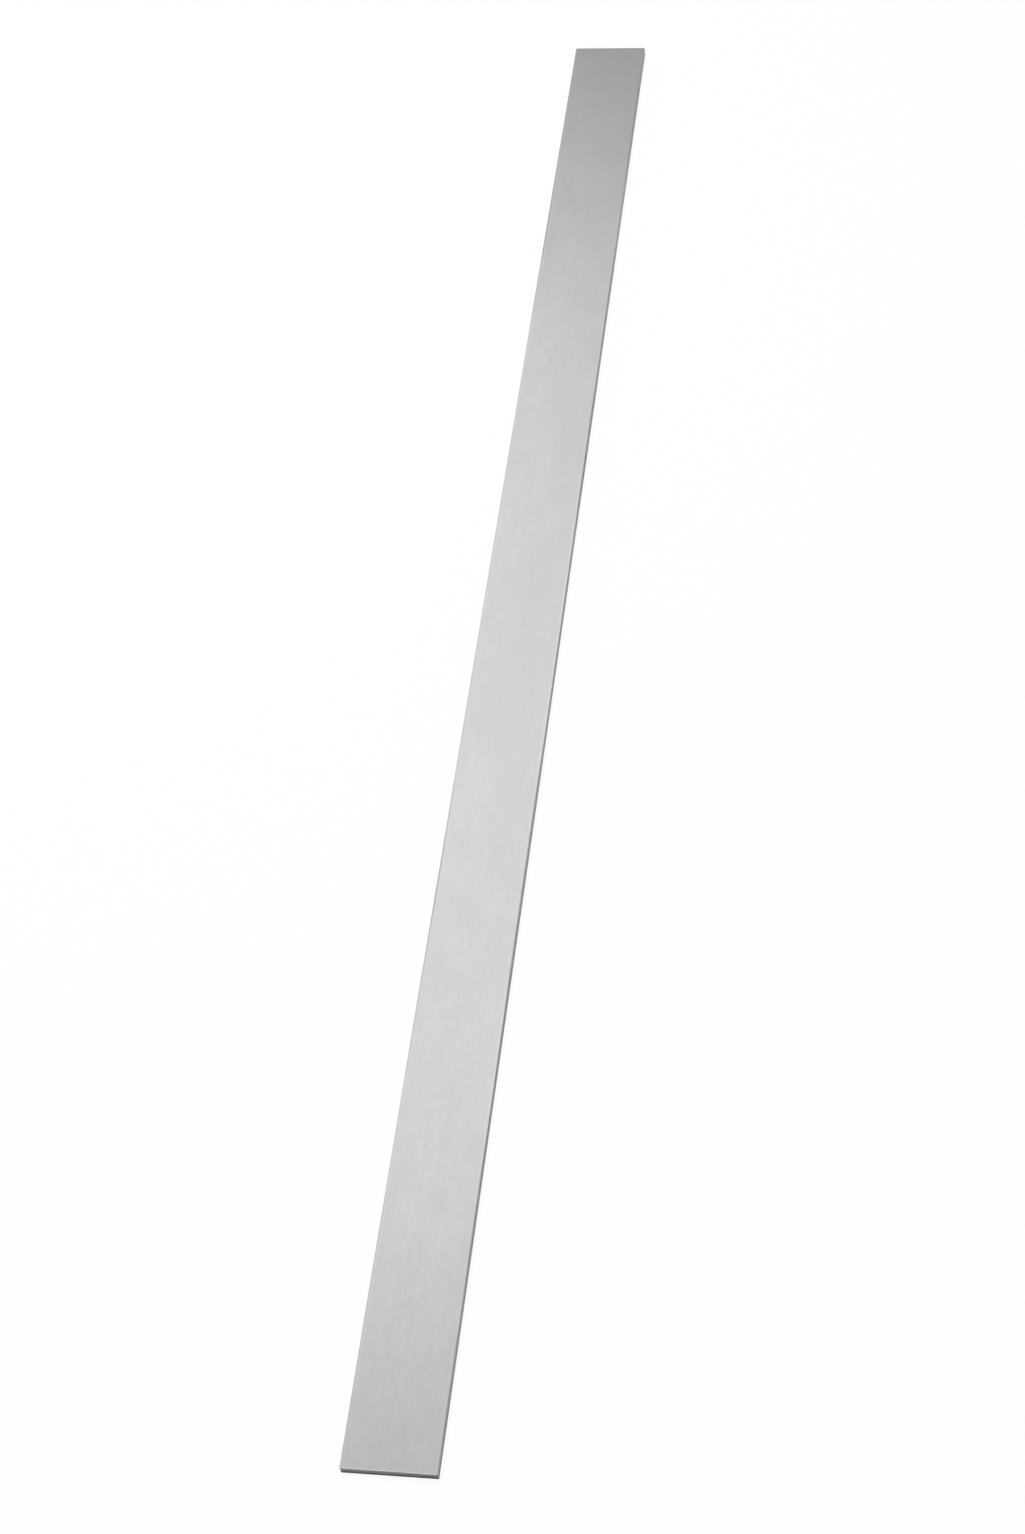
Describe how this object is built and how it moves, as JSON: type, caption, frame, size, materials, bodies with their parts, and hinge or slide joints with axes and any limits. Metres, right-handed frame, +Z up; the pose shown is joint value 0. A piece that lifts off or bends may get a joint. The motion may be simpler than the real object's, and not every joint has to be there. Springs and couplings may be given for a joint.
{
  "type": "aluminium flat bar",
  "caption": "Long straight aluminium flat bar with a rectangular section, softened long edges and square sawn ends.",
  "frame": {"origin": "centre of the underside, on the floor", "axes": "+X along the bar's length, +Y across its width, +Z up through its thickness"},
  "size_m": [1, 0.045, 0.005],
  "materials": {
    "mill_aluminium": "satin mill finish with fine lengthwise draw lines"
  },
  "bodies": {
    "root": {"flat_bar": "mill_aluminium"}
  },
  "joints": []
}
